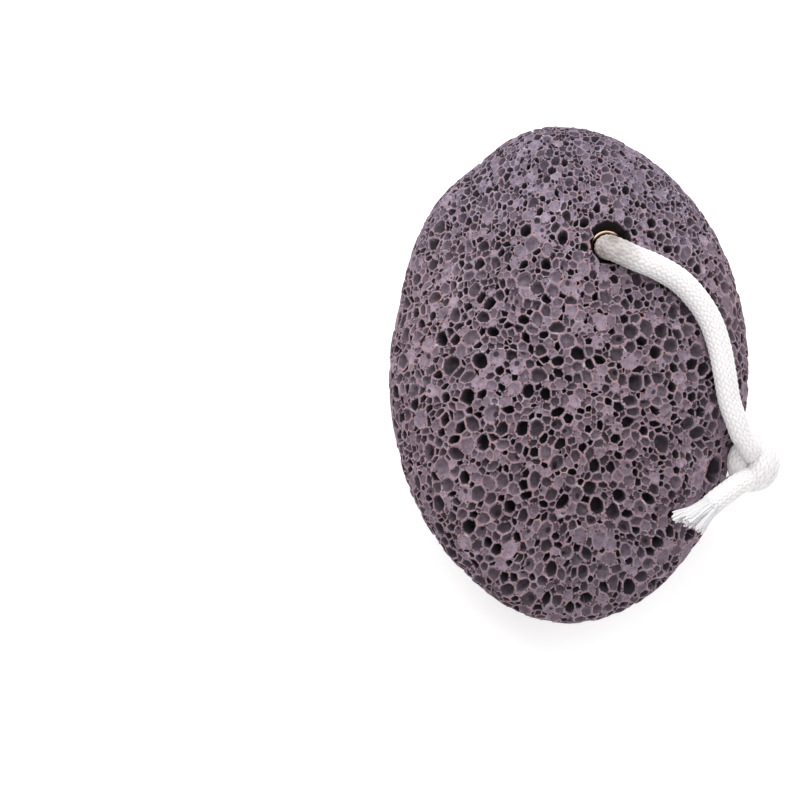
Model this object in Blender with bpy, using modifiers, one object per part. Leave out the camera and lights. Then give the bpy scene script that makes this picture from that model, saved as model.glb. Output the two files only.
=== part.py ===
"""Pumice stone on a loop of braided cotton cord.

An oval lump of bubbly volcanic stone lies on its broad back. A hole runs through its narrow end, lined
with a thin brass sleeve. One soft braided cord goes through the sleeve, over the face and round the back
of the stone, and its two ends are drawn together in a small knot beside it.

World frame, metres: +X across the stone, +Y along it towards the hole, +Z up through its thickness.
The origin is on the surface that the stone rests on, under the middle of the stone.
"""

import math

import bmesh
import bpy
import numpy as np

MM = 0.001
NAME = "pumice_stone"

# The stone.
HALF_SIZE = np.array([36.1, 50.4, 23.6]) * MM  # half width, half length, half thickness
MIDDLE = np.array([0.0, 0.0, 21.6]) * MM  # centre of the stone, above its resting face
FLAT_SHARPNESS = 16  # how crisply a worn flat meets the round of the stone
# Flats worn on the stone: compass angle from +X, angle above level, distance from the centre.
FLATS = [
    (0, -90, 21.9 * MM),  # the face it rests on
    (78, -61, 22.9 * MM),  # underside of the narrow end
    (-80, 62, 27.5 * MM),
    (150, 42, 30.5 * MM),
    (-20, -45, 27.0 * MM),
    (215, -42, 30.6 * MM),
]
# Swells and hollows: compass angle, angle above level, height as a share of the radius, spread.
SWELLS = [
    (66, 0, -0.022, 15),
    (97, 0, 0.014, 16),
    (113, 0, -0.020, 6),
    (130, 0, 0.034, 12),
    (160, 0, -0.012, 6),
    (226, 0, 0.026, 14),
    (298, 0, -0.014, 16),
    (-31, 12, -0.035, 7),  # where the knot leans
    (-35, 28, -0.045, 5),
    (190, 55, -0.016, 14),
    (20, 60, 0.012, 16),
    (250, 30, 0.010, 14),
]
REST_BAND = 0.35 * MM  # skin this low is worn flat, as the resting face

# The bubbles that are large enough to see from a step away.
PIT_COUNT = 265
PIT_RADIUS = (1.1 * MM, 2.2 * MM)
PIT_WALL = 0.5 * MM
PIT_DEPTH = 0.9  # as a share of its radius
PIT_SIDES = 7
FLOOR_SIDES = 5
FLOOR_SHARE = 0.6  # the floor's radius as a share of the rim's
SKIN_COUNT = 430
SKIN_SPACING = 4.2 * MM  # between the points of the plain skin
SKIN_MARGIN = 0.35 * SKIN_SPACING  # from a pit's rim to the nearest of them
PIT_CLEARANCE = 3.0 * MM  # least height of a pit above the resting face
SEED = 11
PIT_TRIES = 40  # places tried for each pit
SKIN_TRIES = 8 * SKIN_COUNT  # places tried for the plain skin as a whole
RAYS_PER_POINT = 6  # directions drawn for each point wanted
SOLVE_ROUNDS = 30  # enough for a height of the skin to settle
OBLIQUE = (0.31, 0.52, 0.80)  # direction that rings are measured from, along none of the stone's axes

# The hole and its sleeve.
HOLE_X = 6.6 * MM
HOLE_Y = 22.0 * MM
SLEEVE_RADIUS = 3.2 * MM
SLEEVE_WALL = 0.4 * MM
FIT_GAP = 0.3 * MM
HOLE_RADIUS = SLEEVE_RADIUS + FIT_GAP
MOUTH_RADIUS = 4.4 * MM
MOUTH_DEPTH = 2.0 * MM
SLEEVE_TOP_IN = 1.0 * MM  # its ends lie this far inside the stone's skin
SLEEVE_BOTTOM_IN = 2.4 * MM
ROUND_SIDES = 32
MERGE_DISTANCE = 0.00001  # where the turned profile meets its own start

# The cord. Each route is a list of points in millimetres that one smooth curve goes through.
CORD_DIAMETER = 4.8 * MM
LOOP_POINTS = 44
END_POINTS = 9
CURVE_STEPS = 16  # from one point of a route to the next
KNOT_CURVE_STEPS = 4
LOOP_ROUTE = [
    (33.1, -14.0, 35.0),
    (32.3, -11.6, 36.1),
    (30.9, -7.8, 37.4),
    (29.9, -2.6, 38.8),
    (28.8, 2.4, 39.6),
    (27.0, 7.4, 40.5),
    (24.4, 11.6, 41.7),
    (20.6, 15.0, 43.1),
    (16.2, 17.7, 44.5),
    (12.2, 19.6, 45.8),
    (8.9, 21.0, 45.9),
    (7.0, 21.8, 43.6),
    (6.6, 22.0, 40.0),
    (6.6, 22.0, 30.0),
    (6.6, 22.0, 18.0),
    (6.6, 22.0, 12.0),
    (6.9, 21.9, 8.6),
    (8.2, 21.5, 5.4),
    (11.0, 20.6, 3.4),
    (15.2, 18.6, 2.8),
    (20.6, 14.8, 2.8),
    (25.6, 9.2, 2.8),
    (29.2, 2.4, 2.8),
    (31.6, -4.2, 3.3),
    (33.6, -9.2, 6.0),
    (35.2, -12.7, 10.8),
    (36.1, -15.0, 16.0),
    (36.4, -16.1, 19.4),
]
TAIL_ROUTE = [
    (32.9, -23.7, 33.3),
    (31.4, -24.9, 33.7),
    (29.4, -26.5, 33.9),
    (27.3, -28.2, 34.3),
    (25.4, -29.8, 34.9),
    (23.8, -30.9, 35.6),
]
TAIL_FLARE = [1.0, 1.0, 1.0, 1.05, 1.2, 1.35]  # the frayed end spreads
LOWER_ROUTE = [
    (36.4, -22.0, 19.2),
    (35.6, -22.4, 15.6),
    (34.2, -22.9, 10.4),
    (32.2, -23.8, 6.2),
    (29.8, -25.2, 3.8),
    (27.4, -27.0, 3.3),
]
LOWER_FLARE = [1.0, 1.0, 1.0, 1.0, 1.1, 1.25]

# The knot: two turns round the strands, whose middle climbs and leans towards the stone.
KNOT_TURNS = 2
KNOT_LOW = (37.7, -19.0, 24.6)
KNOT_HIGH = (35.7, -19.2, 30.0)
KNOT_RADIUS = (2.75, 2.95)
KNOT_START = 200  # compass angle where the turns begin
KNOT_STEPS = 12  # points to a turn
OVER_ROUTE = [
    (33.6, -15.2, 34.5),
    (34.3, -17.0, 33.8),
    (35.3, -18.8, 31.4),
    (36.2, -18.6, 26.5),
    (36.5, -17.0, 21.4),
]
THROUGH_ROUTE = [
    (36.4, -21.4, 21.0),
    (36.2, -19.6, 26.0),
    (35.0, -20.6, 31.2),
    (33.7, -22.7, 32.9),
]
KNOT_GRAIN = 0.6 * MM
KNOT_TRIANGLES = 1000


def clear_scene():
    """Remove every object that is open in the file."""
    for old in list(bpy.data.objects):
        bpy.data.objects.remove(old, do_unlink=True)


def new_collection(name):
    """A collection under the scene's own."""
    collection = bpy.data.collections.new(name)
    bpy.context.scene.collection.children.link(collection)
    return collection


def material(name, color, roughness, metallic=0.0):
    """One Principled material."""
    made = bpy.data.materials.new(name)
    made.use_nodes = True
    shader = made.node_tree.nodes["Principled BSDF"]
    shader.inputs["Base Color"].default_value = (*color, 1)
    shader.inputs["Roughness"].default_value = roughness
    shader.inputs["Metallic"].default_value = metallic
    return made


def add_object(name, data, collection, finish=None):
    """Link data into the collection as an object with its finish."""
    made = bpy.data.objects.new(name, data)
    collection.objects.link(made)
    if finish:
        made.data.materials.append(finish)
    return made


# --- the stone's form ---


def compass(azimuth, elevation):
    """Unit vector at a compass angle from +X and an angle above level, in degrees."""
    turn = math.radians(azimuth)
    rise = math.radians(elevation)
    return np.array([math.cos(turn) * math.cos(rise), math.sin(turn) * math.cos(rise), math.sin(rise)])


def unit(v):
    """Rows of v at length one."""
    return v / np.linalg.norm(v, axis=1, keepdims=True)


def stone_radius(u):
    """Distance from the stone's centre to its skin along each unit vector in u.

    The round of an ellipsoid and the planes of the worn flats are blended by a power mean, so that
    whichever is nearest the centre rules, and the swells then raise or lower the skin round them.
    """
    total = np.linalg.norm(u / HALF_SIZE, axis=1) ** FLAT_SHARPNESS
    for azimuth, elevation, distance in FLATS:
        total += (np.clip(u @ compass(azimuth, elevation), 0, None) / distance) ** FLAT_SHARPNESS
    radius = total ** (-1 / FLAT_SHARPNESS)
    for azimuth, elevation, height, spread in SWELLS:
        angle = np.degrees(np.arccos(np.clip(u @ compass(azimuth, elevation), -1, 1)))
        radius *= 1 + height * np.exp(-0.5 * (angle / spread) ** 2)
    return radius


def on_skin(points):
    """Where the rays from the stone's centre through the points meet its skin."""
    u = unit(points)
    return u * stone_radius(u)[:, None]


def skin_normal(points):
    """Outward direction of the skin, near enough, at points counted from the centre."""
    return unit(points / HALF_SIZE**2)


def skin_height(x, y, side):
    """Height of the skin at x, y on the upper (side 1) or lower (side -1) half of the stone."""
    z = side * HALF_SIZE[2]
    for _ in range(SOLVE_ROUNDS):
        z = on_skin(np.array([[x, y, z]]))[0, 2]
    return z + MIDDLE[2]


# --- the bubbles ---


def random_skin_points(rng, count):
    """Points scattered evenly over the skin."""
    u = unit(rng.normal(size=(count * RAYS_PER_POINT, 3)))
    points = on_skin(u)
    facing = np.sum(u * skin_normal(points), axis=1)
    area = np.sum(points**2, axis=1) / facing
    return points[rng.random(len(u)) * area.max() < area][:count]


def from_hole(points):
    """Distance of each point from the axis of the hole."""
    return np.hypot(points[:, 0] - HOLE_X, points[:, 1] - HOLE_Y)


def place_pits(rng):
    """Centres and radii of the pits, widest first, clear of each other, the hole and the resting face."""
    radii = np.sort(rng.triangular(PIT_RADIUS[0], PIT_RADIUS[0], PIT_RADIUS[1], PIT_COUNT))[::-1]
    centres = np.zeros((0, 3))
    kept = np.zeros(0)
    for radius in radii:
        tries = random_skin_points(rng, PIT_TRIES)
        clear = tries[:, 2] + MIDDLE[2] > PIT_CLEARANCE
        clear &= from_hole(tries) > MOUTH_RADIUS + radius + PIT_WALL
        for centre, other in zip(centres, kept):
            clear &= np.linalg.norm(tries - centre, axis=1) > radius + other + PIT_WALL
        if clear.any():
            centres = np.vstack([centres, tries[clear][:1]])
            kept = np.append(kept, radius)
    return centres, kept


def ring(centre, radius, sides, first):
    """Points of the skin on a circle round a centre."""
    normal = skin_normal(centre[None])[0]
    across = np.cross(normal, OBLIQUE)
    across /= np.linalg.norm(across)
    along = np.cross(normal, across)
    angle = first + 2 * np.pi * np.arange(sides) / sides
    offsets = np.cos(angle)[:, None] * across + np.sin(angle)[:, None] * along
    return on_skin(centre + radius * offsets)


def stone_points():
    """Points of the skin, and how far each is then sunk along the inward normal."""
    rng = np.random.default_rng(SEED)
    centres, radii = place_pits(rng)
    points = []
    sunk = []
    for centre, radius in zip(centres, radii):
        first = rng.random() * 2 * np.pi
        rim = ring(centre, radius, PIT_SIDES, first)
        floor = ring(centre, radius * FLOOR_SHARE, FLOOR_SIDES, first)
        points += [rim, floor]
        sunk += [np.zeros(PIT_SIDES), np.full(FLOOR_SIDES, PIT_DEPTH * radius)]
    skin = np.zeros((0, 3))
    for point in random_skin_points(rng, SKIN_TRIES):
        near_pit = np.linalg.norm(centres - point, axis=1) < radii + SKIN_MARGIN
        near_skin = np.linalg.norm(skin - point, axis=1) < SKIN_SPACING
        if not near_pit.any() and not near_skin.any() and len(skin) < SKIN_COUNT:
            skin = np.vstack([skin, point])
    return np.vstack(points + [skin]), np.concatenate(sunk + [np.zeros(len(skin))])


def make_stone(collection, cutters, finish):
    """The pitted lump, bored through its narrow end."""
    points, sunk = stone_points()
    mesh = bpy.data.meshes.new("stone")
    mesh.from_pydata(unit(points).tolist(), [], [])
    shell = bmesh.new()
    shell.from_mesh(mesh)
    bmesh.ops.convex_hull(shell, input=shell.verts)
    bmesh.ops.recalc_face_normals(shell, faces=shell.faces)
    shell.to_mesh(mesh)
    shell.free()
    placed = points - sunk[:, None] * skin_normal(points) + MIDDLE
    placed[placed[:, 2] < REST_BAND, 2] = 0.0
    mesh.vertices.foreach_set("co", placed.astype(np.float32).ravel())
    mesh.update()
    stone = add_object("stone", mesh, collection, finish)
    front = skin_height(HOLE_X, HOLE_Y, 1)
    back = skin_height(HOLE_X, HOLE_Y, -1)
    beyond = MOUTH_RADIUS
    profile = [
        (0, front + beyond),
        (MOUTH_RADIUS + beyond, front + beyond),
        (HOLE_RADIUS, front - MOUTH_DEPTH),
        (HOLE_RADIUS, back + MOUTH_DEPTH),
        (MOUTH_RADIUS + beyond, back - beyond),
        (0, back - beyond),
    ]
    cutter = turned("hole_cutter", profile, cutters)
    cutter.hide_render = True
    cutter.display_type = "WIRE"
    bore = stone.modifiers.new("bore", "BOOLEAN")
    bore.object = cutter
    bore.operation = "DIFFERENCE"
    return stone


def turned(name, profile, collection, finish=None, closed=False):
    """A solid turned about the hole's axis from (radius, height) points, outer side first."""
    mesh = bpy.data.meshes.new(name)
    count = len(profile)
    edges = [(i, i + 1) for i in range(count - 1)]
    if closed:
        edges.append((count - 1, 0))
    mesh.from_pydata([(radius, 0, height) for radius, height in profile], edges, [])
    made = add_object(name, mesh, collection, finish)
    made.location = (HOLE_X, HOLE_Y, 0)
    screw = made.modifiers.new("turn", "SCREW")
    screw.steps = ROUND_SIDES
    screw.render_steps = ROUND_SIDES
    screw.use_merge_vertices = True
    screw.merge_threshold = MERGE_DISTANCE
    return made


def make_sleeve(collection, finish):
    """Thin tube that lines the hole and keeps the cord off the stone."""
    top = skin_height(HOLE_X, HOLE_Y, 1) - SLEEVE_TOP_IN
    bottom = skin_height(HOLE_X, HOLE_Y, -1) + SLEEVE_BOTTOM_IN
    inner = SLEEVE_RADIUS - SLEEVE_WALL
    profile = [(SLEEVE_RADIUS, top), (SLEEVE_RADIUS, bottom), (inner, bottom), (inner, top)]
    return turned("hole_sleeve", profile, collection, finish, closed=True)


# --- the cord ---


def smooth_curve(route, per_span=CURVE_STEPS):
    """Points of one smooth curve through the route's points, in metres (Catmull-Rom, centripetal)."""
    way = np.array(route, dtype=float) * MM
    way = np.vstack([2 * way[0] - way[1], way, 2 * way[-1] - way[-2]])
    knots = np.concatenate([[0], np.cumsum(np.linalg.norm(np.diff(way, axis=0), axis=1) ** 0.5)])
    curve = []
    for i in range(1, len(way) - 2):
        p, t = way[i - 1 : i + 3], knots[i - 1 : i + 3]
        s = np.linspace(t[1], t[2], per_span, endpoint=False)[:, None]
        a = [((t[j + 1] - s) * p[j] + (s - t[j]) * p[j + 1]) / (t[j + 1] - t[j]) for j in range(3)]
        b = [((t[j + 2] - s) * a[j] + (s - t[j]) * a[j + 1]) / (t[j + 2] - t[j]) for j in range(2)]
        curve.append(((t[2] - s) * b[0] + (s - t[1]) * b[1]) / (t[2] - t[1]))
    return np.vstack(curve + [way[-2][None]])


def spread_points(curve, count):
    """The curve's points picked at even steps along its length."""
    along = np.concatenate([[0], np.cumsum(np.linalg.norm(np.diff(curve, axis=0), axis=1))])
    wanted = np.linspace(0, along[-1], count)
    return np.stack([np.interp(wanted, along, curve[:, k]) for k in range(3)], axis=1)


def tube(name, strands, collection, finish=None, sides=3):
    """A curve object with one round tube for each strand, a pair of points and radius factors."""
    curve = bpy.data.curves.new(name, "CURVE")
    curve.dimensions = "3D"
    curve.bevel_depth = CORD_DIAMETER / 2
    curve.bevel_resolution = sides
    curve.use_fill_caps = True
    for points, factors in strands:
        spline = curve.splines.new("POLY")
        spline.points.add(len(points) - 1)
        spline.points.foreach_set("co", np.column_stack([points, np.ones(len(points))]).ravel())
        spline.points.foreach_set("radius", factors)
    return add_object(name, curve, collection, finish)


def make_loop(collection, finish):
    """The loop, from the knot over the face, down the sleeve and back under the stone to the knot."""
    points = spread_points(smooth_curve(LOOP_ROUTE), LOOP_POINTS)
    return tube("cord_loop", [(points, np.ones(len(points)))], collection, finish)


def make_end(name, route, flare, collection, finish):
    """One end of the cord beyond the knot, spreading where its yarns have come apart."""
    points = spread_points(smooth_curve(route), END_POINTS)
    factors = np.interp(np.linspace(0, 1, END_POINTS), np.linspace(0, 1, len(flare)), flare)
    return tube(name, [(points, factors)], collection, finish)


def knot_turns():
    """Route of the knot's turns: a short coil whose middle climbs from its low to its high point."""
    share = np.linspace(0, 1, KNOT_TURNS * KNOT_STEPS + 1)[:, None]
    angle = math.radians(KNOT_START) - 2 * np.pi * KNOT_TURNS * share
    middle = np.array(KNOT_LOW) + share * (np.array(KNOT_HIGH) - np.array(KNOT_LOW))
    sweep = np.hstack([KNOT_RADIUS[0] * np.cos(angle), KNOT_RADIUS[1] * np.sin(angle), 0 * angle])
    return middle + sweep


def make_knot(collection, finish):
    """The knot as one lump: its turns, the strand that dives in and the end that comes out."""
    strands = []
    for route in (knot_turns(), OVER_ROUTE, THROUGH_ROUTE):
        points = smooth_curve(route, KNOT_CURVE_STEPS)
        strands.append((points, np.ones(len(points))))
    bundle = tube("cord_knot_bundle", strands, collection)
    evaluated = bundle.evaluated_get(bpy.context.evaluated_depsgraph_get())
    mesh = bpy.data.meshes.new_from_object(evaluated)
    mesh.name = "cord_knot"
    bpy.data.objects.remove(bundle, do_unlink=True)
    knot = add_object("cord_knot", mesh, collection, finish)
    remesh = knot.modifiers.new("one_body", "REMESH")
    remesh.mode = "VOXEL"
    remesh.voxel_size = KNOT_GRAIN
    remesh.use_smooth_shade = True
    bpy.context.view_layer.update()
    faces = len(knot.evaluated_get(bpy.context.evaluated_depsgraph_get()).data.polygons)
    thin = knot.modifiers.new("fewer_faces", "DECIMATE")
    thin.ratio = KNOT_TRIANGLES / (2 * faces)
    return knot


def main():
    """Build the stone with its sleeve and cord."""
    clear_scene()
    parts = new_collection(NAME)
    cutters = new_collection("cutters")
    stone = material("pumice", (0.20, 0.155, 0.18), 0.95)
    brass = material("brass", (0.60, 0.42, 0.20), 0.35, 1.0)
    cotton = material("cotton_cord", (0.86, 0.85, 0.84), 0.9)
    make_stone(parts, cutters, stone)
    make_sleeve(parts, brass)
    make_loop(parts, cotton)
    make_knot(parts, cotton)
    make_end("cord_end_upper", TAIL_ROUTE, TAIL_FLARE, parts, cotton)
    make_end("cord_end_lower", LOWER_ROUTE, LOWER_FLARE, parts, cotton)


main()
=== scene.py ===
# %% [markdown]
# # A pumice stone on a cotton cord
# The object is an oval lump of volcanic glass foam, bored through its narrow end, with a thin brass sleeve
# in the bore and a soft white braided cord tied through it. Its plain solids are loaded first, as a fixed
# frame. Everything after them only dresses them: a cord made of real braid, a stone made of real bubbles,
# a dulled sleeve, and a light tent with a camera that looks down on the stone.

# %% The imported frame
import math

import bmesh
import bpy
import numpy as np
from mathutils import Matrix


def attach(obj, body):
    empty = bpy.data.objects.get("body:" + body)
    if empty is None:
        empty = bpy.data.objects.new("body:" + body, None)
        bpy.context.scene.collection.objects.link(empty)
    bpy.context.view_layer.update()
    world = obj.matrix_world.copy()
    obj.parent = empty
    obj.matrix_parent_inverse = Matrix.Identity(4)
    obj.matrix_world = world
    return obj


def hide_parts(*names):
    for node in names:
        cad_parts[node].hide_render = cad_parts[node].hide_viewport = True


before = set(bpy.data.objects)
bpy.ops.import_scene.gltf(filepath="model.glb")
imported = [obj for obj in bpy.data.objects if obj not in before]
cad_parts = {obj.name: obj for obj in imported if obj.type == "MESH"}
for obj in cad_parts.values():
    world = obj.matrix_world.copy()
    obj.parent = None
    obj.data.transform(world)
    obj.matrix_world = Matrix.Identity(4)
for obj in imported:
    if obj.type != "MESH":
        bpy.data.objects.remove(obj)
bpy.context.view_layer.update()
MM = 0.001
print("solids:", sorted(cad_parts))

# %% [markdown]
# ## Camera
# The stone lies on a white table and is seen from nearly straight above, from a little towards its broad
# end. A short lens close by would swell the middle of the stone, so a long lens looks from far off.

# %% Camera
VIEW_WIDTH = 160 * MM  # what the frame takes in at the stone's middle
VIEW_DISTANCE = 650 * MM
VIEW_ELEVATION = 82
VIEW_AIM = np.array([-33.8, -5.4, 21.6]) * MM
SENSOR = 36.0  # millimetres across
NEAREST = 10 * MM  # what is closer to the lens isn't drawn


def add_object(name, data):
    """A new object in the scene, at the origin."""
    made = bpy.data.objects.new(name, data)
    bpy.context.scene.collection.objects.link(made)
    return made


def add_camera():
    """Camera on a line that rises from the aim at the view's elevation, looking along it."""
    rise = math.radians(VIEW_ELEVATION)
    lens = bpy.data.cameras.new("camera")
    lens.sensor_width = SENSOR
    lens.lens = SENSOR * VIEW_DISTANCE / VIEW_WIDTH
    lens.clip_start = NEAREST
    camera = add_object("camera", lens)
    camera.location = VIEW_AIM + VIEW_DISTANCE * np.array([0, -math.cos(rise), math.sin(rise)])
    camera.rotation_euler = (math.pi / 2 - rise, 0, 0)
    bpy.context.scene.camera = camera
    return camera


print("camera at", tuple(round(v, 3) for v in add_camera().location))

# %% [markdown]
# ## Light
# The stone is lit as on a product table: softly, and mostly from its far end, so that the far wall of
# every bubble is in shade and the near one catches light. Small lamps would draw hard shadows across the
# froth, so the lights are wide squares, and an even white world stands for the cards round them.

# %% Lights
WORLD_LIGHT = 0.64
# Name, place and width in metres, and power in watts.
SOFTBOXES = [
    ("far_softbox", (-0.17, 0.48, 0.55), 0.60, 3.8),
    ("top_softbox", (0.25, 0.05, 0.75), 0.40, 0.9),
]


def add_light(name, place, size, power):
    """Square soft light at a place, turned to face the point that the camera aims at."""
    lamp = bpy.data.lights.new(name, "AREA")
    lamp.size = size
    lamp.energy = power
    light = add_object(name, lamp)
    light.location = place
    away = np.array(place) - VIEW_AIM
    lean = math.atan2(math.hypot(away[0], away[1]), away[2])
    light.rotation_euler = (lean, 0, math.atan2(away[1], away[0]) + math.pi / 2)


for softbox in SOFTBOXES:
    add_light(*softbox)
world = bpy.data.worlds.new("white_tent")
world.use_nodes = True
background = world.node_tree.nodes["Background"]
background.inputs["Color"].default_value = (1, 1, 1, 1)
background.inputs["Strength"].default_value = WORLD_LIGHT
bpy.context.scene.world = world
bpy.context.scene.view_settings.view_transform = "Standard"
print("lights:", [name for name, *_ in SOFTBOXES], "and the world at", WORLD_LIGHT)

# %% [markdown]
# ## Building with arrays
# Every surface here has tens of thousands of points. Adding them one by one is slow, so each surface is
# worked out as whole numpy arrays and handed to Blender in one go. A finished mesh keeps its place in its
# points, so every object stays at the origin.

# %% Mesh helpers
def unit(v):
    """Rows of v at length one."""
    return v / np.linalg.norm(v, axis=-1, keepdims=True)


def mesh_from(name, points, faces):
    """Mesh from an array of points and a list of arrays of triangles or quads."""
    mesh = bpy.data.meshes.new(name)
    corners = np.concatenate([f.ravel() for f in faces]).astype(np.int32)
    sides = np.concatenate([np.full(len(f), f.shape[1]) for f in faces])
    mesh.vertices.add(len(points))
    mesh.vertices.foreach_set("co", np.asarray(points, np.float32).ravel())
    mesh.loops.add(len(corners))
    mesh.loops.foreach_set("vertex_index", corners)
    mesh.polygons.add(len(sides))
    starts = np.concatenate([[0], np.cumsum(sides)[:-1]]).astype(np.int32)
    mesh.polygons.foreach_set("loop_start", starts)
    mesh.update(calc_edges=True)
    return mesh


def add_values(mesh, name, values):
    """One number or vector for each point, which materials read by name."""
    values = np.asarray(values, np.float32)
    kind, field = ("FLOAT", "value") if values.ndim == 1 else ("FLOAT_VECTOR", "vector")
    mesh.attributes.new(name, kind, "POINT").data.foreach_set(field, values.ravel())


def add_piece(name, mesh, finish, sharp=None):
    """A piece of the object, smooth but for edges sharper than a given angle, riding on the root."""
    mesh.shade_smooth()
    if sharp:
        mesh.set_sharp_from_angle(angle=math.radians(sharp))
    piece = add_object(name, mesh)
    mesh.materials.append(finish)
    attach(piece, "root")
    return piece


print("unit of (3, 4):", unit(np.array([3.0, 4.0])))

# %% [markdown]
# ## Writing shaders as sums
# A material is a graph of nodes, and in Python that soon becomes a long list of links. It is easier to
# read as a line of arithmetic. The first class wraps a socket, so that `1 - rim * 2` adds the Math nodes
# it needs, and the second adds every other kind of node through one method.

# %% Shader helper
class Value:
    """A number that varies over the surface, as a node's output socket."""

    def __init__(self, kit, socket):
        self.kit = kit
        self.socket = socket

    def math(self, operation, *others):
        """The Math node of an operation, with this value first."""
        return self.kit.value("ShaderNodeMath", {"operation": operation}, [self, *others])

    def __add__(self, other):
        return self.math("ADD", other)

    __radd__ = __add__

    def __mul__(self, other):
        return self.math("MULTIPLY", other)

    def __sub__(self, other):
        return self.math("SUBTRACT", other)

    def __rsub__(self, other):
        return self.kit.value("ShaderNodeMath", {"operation": "SUBTRACT"}, [other, self])

    def __truediv__(self, other):
        return self.math("DIVIDE", other)

    def over(self, low, high):
        """0 below low and 1 above high, smooth between them."""
        ends = {"Value": self, "From Min": low, "From Max": high}
        return self.kit.value("ShaderNodeMapRange", {"interpolation_type": "SMOOTHSTEP"}, ends)


class Kit:
    """A new material with its Principled shader, and one way to add any other node."""

    def __init__(self, name, roughness, metallic=0.0):
        self.material = bpy.data.materials.new(name)
        self.material.use_nodes = True
        self.tree = self.material.node_tree
        self.shader = self.tree.nodes["Principled BSDF"]
        self.feed(Roughness=roughness, Metallic=metallic)

    def plug(self, socket, given):
        """Link a value to a socket, or set the socket to a plain number or colour."""
        if isinstance(given, Value):
            self.tree.links.new(given.socket, socket)
        else:
            socket.default_value = given

    def node(self, kind, settings=None, inputs=None):
        """A node of a kind, with its settings first, and then the values or links of its sockets."""
        made = self.tree.nodes.new(kind)
        for key, setting in (settings or {}).items():
            setattr(made, key, setting)
        pairs = inputs.items() if isinstance(inputs, dict) else enumerate(inputs or [])
        for key, given in pairs:
            self.plug(made.inputs[key], given)
        return made

    def value(self, kind, settings=None, inputs=None, output=0):
        """One output of a node of a kind."""
        return Value(self, self.node(kind, settings, inputs).outputs[output])

    def attribute(self, name):
        """A number that the mesh carries at its points."""
        return self.value("ShaderNodeAttribute", {"attribute_name": name}, output="Fac")

    def place(self):
        """The point's own place, in metres."""
        return self.value("ShaderNodeTexCoord", output="Object")

    def noise(self, scale, detail):
        """Clouds from 0 to 1, as many in a metre as the scale."""
        inputs = {"Vector": self.place(), "Scale": scale, "Detail": detail}
        return self.value("ShaderNodeTexNoise", None, inputs)

    def mix(self, amount, low, high, blend="MIX"):
        """Colour that goes from low to high with the amount."""
        settings = {"data_type": "RGBA", "blend_type": blend}
        return self.value("ShaderNodeMix", settings, {0: amount, 6: low, 7: high}, output=2)

    def bump(self, height, strength, distance):
        """Surface direction tilted as if the surface rose by a height times a distance."""
        inputs = {"Height": height, "Strength": strength, "Distance": distance}
        return self.value("ShaderNodeBump", None, inputs)

    def feed(self, **given):
        """Feed sockets of the Principled shader, named with _ for a space, and give the material."""
        for name, value in given.items():
            self.plug(self.shader.inputs[name.replace("_", " ")], value)
        return self.material


def srgb(red, green, blue):
    """Scene colour of a screen colour given from 0 to 255, by the standard screen curve."""
    parts = [v / 255 for v in (red, green, blue)]
    return (*[v / 12.92 if v < 0.04045 else ((v + 0.055) / 1.055) ** 2.4 for v in parts], 1.0)


print("scene colour of a middle grey:", round(srgb(128, 128, 128)[0], 3))

# %% [markdown]
# ## The cord's way
# One cord makes the whole loop. It comes up out of the sleeve, lies over the face down to the knot, and
# goes back under the stone into the sleeve from behind. Its two ends are knotted round it beside the
# stone. A simulated rope would settle somewhere of its own, so the way is given as short lists of points,
# in millimetres, and a smooth curve through them is cut into even steps.

# %% Routes
CORD = 4.8 * MM  # thickness
HOLE = np.array([6.6, 22.0]) * MM  # where the axis of the hole stands
CURVE_STEPS = 40  # worked out from one point of a route to the next
FRONT_ROUTE = [
    (6.6, 22, 25), (6.6, 22, 33), (6.6, 22, 40), (6.9, 21.5, 43.6),
    (8.7, 20.4, 45.6), (12, 19, 45.2), (16.1, 17.5, 44), (20.6, 15, 42.7),
    (24.2, 11.4, 41.4), (26.8, 7.3, 40.3), (28.5, 2.4, 39.4), (29.5, -2.6, 38.7),
    (30.5, -7.8, 37.3), (31.9, -11.7, 36.2), (32.9, -14.1, 35.1),
]
KNOT_ROUTE = [
    (33.5, -14.9, 34.6), (34.3, -16.1, 33.8), (35, -16.9, 32.2), (35.7, -17.3, 29.5),
    (36.3, -17.6, 26), (36.5, -17, 22),
]
BACK_ROUTE = [
    (36.4, -16.1, 19.4), (36.1, -15, 16), (35.2, -12.7, 10.8), (33.6, -9.2, 6),
    (31.6, -4.2, 3.3), (29.2, 2.4, 2.8), (25.6, 9.2, 2.8), (20.6, 14.8, 2.8),
    (15.2, 18.6, 2.8), (11, 20.6, 3.4), (8.2, 21.5, 5.4), (6.9, 21.9, 8.6),
    (6.6, 22, 12), (6.6, 22, 18), (6.6, 22, 24.9),
]
UPPER_END_ROUTE = [
    (35.6, -20.8, 25.5), (34.8, -21.7, 28.5), (34, -22.7, 31), (32.5, -23.6, 32.4),
    (30.2, -25.3, 33.3), (28.1, -26.9, 33.9), (26.3, -28.5, 34.4), (25.4, -29.2, 34.7),
]
LOWER_END_ROUTE = [
    (36.3, -19.8, 25), (36.4, -20.4, 19.2), (35.6, -20.7, 15.6), (34.2, -21.1, 10.4),
    (32.2, -22, 6.2), (30, -23.3, 4),
]


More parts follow.
